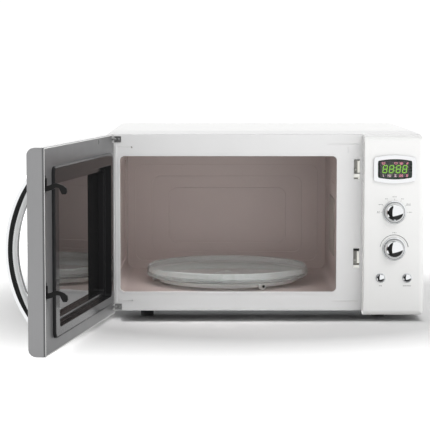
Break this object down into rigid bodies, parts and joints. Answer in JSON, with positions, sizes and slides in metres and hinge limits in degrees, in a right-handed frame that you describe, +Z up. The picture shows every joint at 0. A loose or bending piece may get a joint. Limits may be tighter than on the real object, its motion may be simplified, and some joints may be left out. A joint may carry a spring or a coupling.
{
  "type": "microwave oven",
  "caption": "Countertop microwave oven with a side-hinged door, glass turntable, bow handle, digital display, two domed knobs and two push buttons.",
  "frame": {"origin": "centre of the four feet, on the surface the oven stands on", "axes": "+X to the right seen from the front, +Y from the front towards the rear panel, +Z up"},
  "size_m": [0.5936, 0.7554, 0.2855],
  "materials": {
    "cabinet_paint": "smooth satin enamel",
    "frame_plastic": "satin moulded plastic",
    "base_steel": "plain galvanised sheet",
    "foot_rubber": "matt",
    "cavity_enamel": "satin enamel",
    "guide_steel": "plain sheet",
    "cover_mica": "mica sheet",
    "magnetron_steel": "plain",
    "core_steel": "laminated, varnished",
    "winding_copper": "varnished wire",
    "capacitor_can": "plain",
    "black_part": "moulded",
    "fan_plastic": "moulded",
    "motor_steel": "plain",
    "lamp_bulb": "bulb and holder",
    "coupler_plastic": "moulded",
    "tray_glass": "clear pressed glass",
    "ring_plastic": "moulded",
    "roller_plastic": "moulded",
    "latch_plastic": "moulded",
    "plunger_plastic": "moulded",
    "hinge_steel": "zinc plated",
    "panel_plastic": "glossy moulded plastic",
    "chrome_trim": "polished",
    "display_lens": "smoked window",
    "board_green": "printed circuit board",
    "encoder_metal": "plain",
    "knob_chrome": "polished",
    "button_chrome": "polished",
    "fuse_ceramic": "plain",
    "gland_plastic": "moulded",
    "screw_steel": "zinc plated",
    "door_plastic": "glossy moulded plastic",
    "edge_plastic": "satin moulded plastic",
    "door_frame_paint": "satin enamel",
    "choke_plastic": "satin moulded plastic",
    "window_glass": "dark tinted",
    "inner_glass": "dark tinted",
    "screen_metal": "perforated, black enamel",
    "handle_chrome": "polished",
    "hook_plastic": "moulded",
    "spring_steel": "plain wire"
  },
  "bodies": {
    "chassis": {"outer_cabinet": "cabinet_paint", "base_plate": "base_steel", "rear_panel": "cabinet_paint", "front_frame": "frame_plastic", "feet": "foot_rubber", "oven_cavity": "cavity_enamel", "waveguide": "guide_steel", "waveguide_cover": "cover_mica", "magnetron": "magnetron_steel", "transformer_core": "core_steel", "transformer_windings": "winding_copper", "capacitor": "capacitor_can", "diode": "black_part", "fan_shroud": "fan_plastic", "fan_motor": "motor_steel", "air_duct": "base_steel", "oven_lamp": "lamp_bulb", "thermal_cutout": "black_part", "turntable_motor": "motor_steel", "latch_board": "latch_plastic", "door_switches": "black_part", "upper_hinge_plate": "hinge_steel", "lower_hinge_plate": "hinge_steel", "control_panel": "panel_plastic", "display_frame": "chrome_trim", "display_lens": "display_lens", "display_module": "black_part", "control_board": "board_green", "rotary_encoders": "encoder_metal", "knob_rings": "chrome_trim", "button_rings": "chrome_trim", "tact_switches": "black_part", "noise_filter": "board_green", "fuse": "fuse_ceramic", "cord_gland": "gland_plastic", "cabinet_screws": "screw_steel"},
    "hook": {"door_hook": "hook_plastic"},
    "fan": {"fan_blade": "fan_plastic"},
    "turntable": {"turntable_coupler": "coupler_plastic", "glass_tray": "tray_glass"},
    "ring": {"roller_ring": "ring_plastic"},
    "roller_1": {"roller_1": "roller_plastic"},
    "roller_2": {"roller_2": "roller_plastic"},
    "roller_3": {"roller_3": "roller_plastic"},
    "selector_knob": {"selector_knob": "knob_chrome"},
    "timer_knob": {"timer_knob": "knob_chrome"},
    "left_button": {"left_button": "button_chrome"},
    "right_button": {"right_button": "button_chrome"},
    "upper_switch_plunger": {"upper_switch_plunger": "plunger_plastic"},
    "lower_switch_plunger": {"lower_switch_plunger": "plunger_plastic"},
    "monitor_switch_plunger": {"monitor_switch_plunger": "plunger_plastic"},
    "door": {"door_front": "door_plastic", "door_edge_trim": "edge_plastic", "door_inner_frame": "door_frame_paint", "choke_cover": "choke_plastic", "door_front_glass": "window_glass", "door_inner_glass": "inner_glass", "window_screen": "screen_metal", "handle": "handle_chrome", "hook_spring": "spring_steel"}
  },
  "joints": [
    {"name": "door_swing", "type": "hinge", "parent": "chassis", "child": "door", "pos_m": [-0.2337, -0.1887, 0.142], "axis": [0, 0, 1], "range_deg": [0, 100]},
    {"name": "hook_lift", "type": "slide", "parent": "door", "child": "hook", "axis": [0, 0, 1], "range_m": [0, 0.003], "stiffness_N_per_m": 250, "springref_m": -0.002, "deforming": ["hook_spring"]},
    {"name": "fan_spin", "type": "hinge", "parent": "chassis", "child": "fan", "pos_m": [0.1805, 0.125, 0.18], "axis": [0, 1, 0], "continuous": true},
    {"name": "turntable_spin", "type": "hinge", "parent": "chassis", "child": "turntable", "pos_m": [-0.05325, -0.014, 0.04765], "axis": [0, 0, 1], "continuous": true},
    {"name": "ring_spin", "type": "hinge", "parent": "chassis", "child": "ring", "pos_m": [-0.05325, -0.014, 0.04205], "axis": [0, 0, 1], "continuous": true},
    {"name": "roller_1_spin", "type": "hinge", "parent": "ring", "child": "roller_1", "pos_m": [0.00032, -0.11914, 0.04205], "axis": [0.454, -0.891, 0], "continuous": true},
    {"name": "roller_2_spin", "type": "hinge", "parent": "ring", "child": "roller_2", "pos_m": [0.01102, 0.08496, 0.04205], "axis": [0.5446, 0.8387, 0], "continuous": true},
    {"name": "roller_3_spin", "type": "hinge", "parent": "ring", "child": "roller_3", "pos_m": [-0.17109, -0.00782, 0.04205], "axis": [-0.9986, 0.0523, 0], "continuous": true},
    {"name": "selector_turn", "type": "hinge", "parent": "chassis", "child": "selector_knob", "pos_m": [0.1965, -0.2065, 0.166], "axis": [0, -1, 0], "range_deg": [-90, 90]},
    {"name": "timer_turn", "type": "hinge", "parent": "chassis", "child": "timer_knob", "pos_m": [0.1965, -0.2065, 0.1105], "axis": [0, -1, 0], "continuous": true},
    {"name": "left_button_press", "type": "slide", "parent": "chassis", "child": "left_button", "axis": [0, 1, 0], "range_m": [0, 0.0015], "stiffness_N_per_m": 400, "springref_m": -0.0005},
    {"name": "right_button_press", "type": "slide", "parent": "chassis", "child": "right_button", "axis": [0, 1, 0], "range_m": [0, 0.0015], "stiffness_N_per_m": 400, "springref_m": -0.0005},
    {"name": "upper_plunger_press", "type": "slide", "parent": "chassis", "child": "upper_switch_plunger", "axis": [0, 1, 0], "range_m": [0, 0.0012], "stiffness_N_per_m": 400, "springref_m": -0.0005},
    {"name": "lower_plunger_press", "type": "slide", "parent": "chassis", "child": "lower_switch_plunger", "axis": [0, 1, 0], "range_m": [0, 0.0012], "stiffness_N_per_m": 400, "springref_m": -0.0005},
    {"name": "monitor_plunger_press", "type": "slide", "parent": "chassis", "child": "monitor_switch_plunger", "axis": [0, 0, -1], "range_m": [0, 0.0012], "stiffness_N_per_m": 400, "springref_m": -0.0005}
  ],
  "couplings": [
    {"joint": "ring_spin", "follows": "turntable_spin", "ratio": 0.5},
    {"joint": "roller_1_spin", "follows": "turntable_spin", "ratio": -10.727},
    {"joint": "roller_2_spin", "follows": "turntable_spin", "ratio": -10.727},
    {"joint": "roller_3_spin", "follows": "turntable_spin", "ratio": -10.727}
  ]
}
